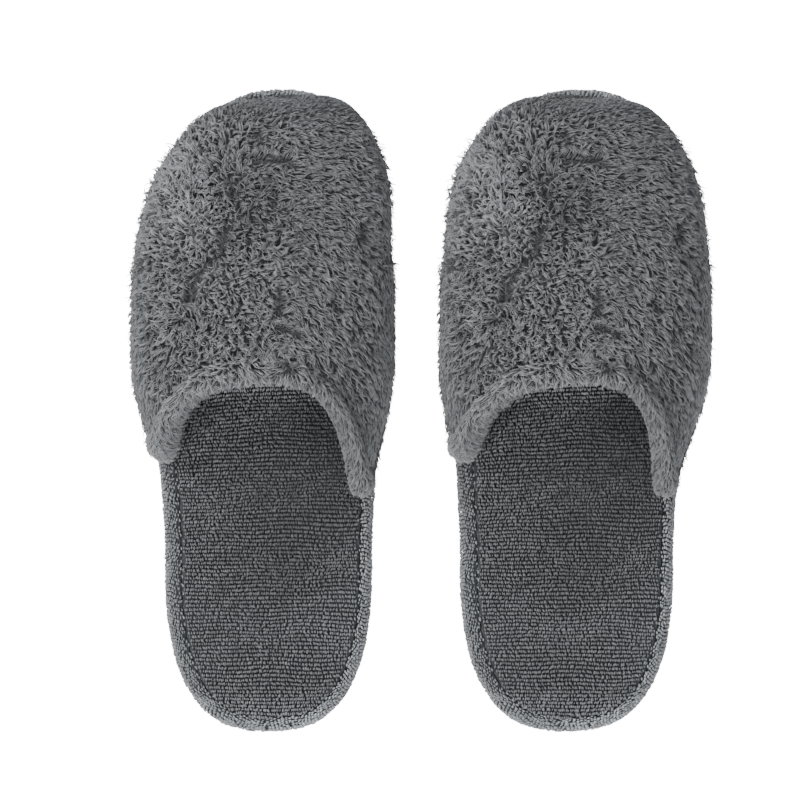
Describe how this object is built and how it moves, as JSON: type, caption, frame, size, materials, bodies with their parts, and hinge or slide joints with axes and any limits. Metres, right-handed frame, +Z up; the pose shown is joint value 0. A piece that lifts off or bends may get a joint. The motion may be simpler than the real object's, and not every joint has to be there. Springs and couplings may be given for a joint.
{
  "type": "spa slippers",
  "caption": "Pair of closed-toe scuff slippers with a long plush vamp, a looped terry footbed, a terry-wrapped platform edge and a moulded flat outsole.",
  "frame": {"origin": "centre of the pair's box, on the floor under the outsoles", "axes": "+Y towards the toes, +X to the right slipper, +Z up"},
  "size_m": [0.2498, 0.2754, 0.0656],
  "materials": {
    "plush_pile": "long cut-pile plush, grey",
    "vamp_padding": "thin needled padding",
    "vamp_lining": "short looped lining",
    "terry_footbed": "looped terry in rows",
    "terry_band": "ribbed looped terry",
    "thread": "polyester sewing thread",
    "cushion_foam": "open-cell foam",
    "eva_foam": "closed-cell EVA foam",
    "insole_board": "pressed fibre board",
    "eva_outsole": "moulded EVA with cross grooves"
  },
  "bodies": {
    "left_forefoot": {"left_outsole_fore": "eva_outsole", "left_platform_foam_fore": "eva_foam", "left_insole_board_fore": "insole_board", "left_footbed_foam_fore": "cushion_foam", "left_footbed_cover_fore": "terry_footbed", "left_side_band_fore": "terry_band", "left_edge_stitching_fore": "thread", "left_vamp_plush": "plush_pile", "left_vamp_padding": "vamp_padding", "left_vamp_lining": "vamp_lining", "left_throat_roll": "plush_pile"},
    "left_heel": {"left_outsole_heel": "eva_outsole", "left_platform_foam_heel": "eva_foam", "left_insole_board_heel": "insole_board", "left_footbed_foam_heel": "cushion_foam", "left_footbed_cover_heel": "terry_footbed", "left_side_band_heel": "terry_band", "left_edge_stitching_heel": "thread", "left_heel_band_stitching": "thread"},
    "right_forefoot": {"right_outsole_fore": "eva_outsole", "right_platform_foam_fore": "eva_foam", "right_insole_board_fore": "insole_board", "right_footbed_foam_fore": "cushion_foam", "right_footbed_cover_fore": "terry_footbed", "right_side_band_fore": "terry_band", "right_edge_stitching_fore": "thread", "right_vamp_plush": "plush_pile", "right_vamp_padding": "vamp_padding", "right_vamp_lining": "vamp_lining", "right_throat_roll": "plush_pile"},
    "right_heel": {"right_outsole_heel": "eva_outsole", "right_platform_foam_heel": "eva_foam", "right_insole_board_heel": "insole_board", "right_footbed_foam_heel": "cushion_foam", "right_footbed_cover_heel": "terry_footbed", "right_side_band_heel": "terry_band", "right_edge_stitching_heel": "thread", "right_heel_band_stitching": "thread"}
  },
  "joints": [
    {"name": "left_sole_flex", "type": "hinge", "parent": "left_forefoot", "child": "left_heel", "pos_m": [-0.06551, -0.04525, 0.0165], "axis": [-1, 0, 0], "range_deg": [0, 45], "stiffness_Nm_per_rad": 0.6},
    {"name": "right_lift", "type": "slide", "parent": "left_forefoot", "child": "right_forefoot", "axis": [0, 0, 1], "range_m": [0, 0.15]},
    {"name": "right_sole_flex", "type": "hinge", "parent": "right_forefoot", "child": "right_heel", "pos_m": [0.0625, -0.04525, 0.0165], "axis": [-1, 0, 0], "range_deg": [0, 45], "stiffness_Nm_per_rad": 0.6}
  ]
}
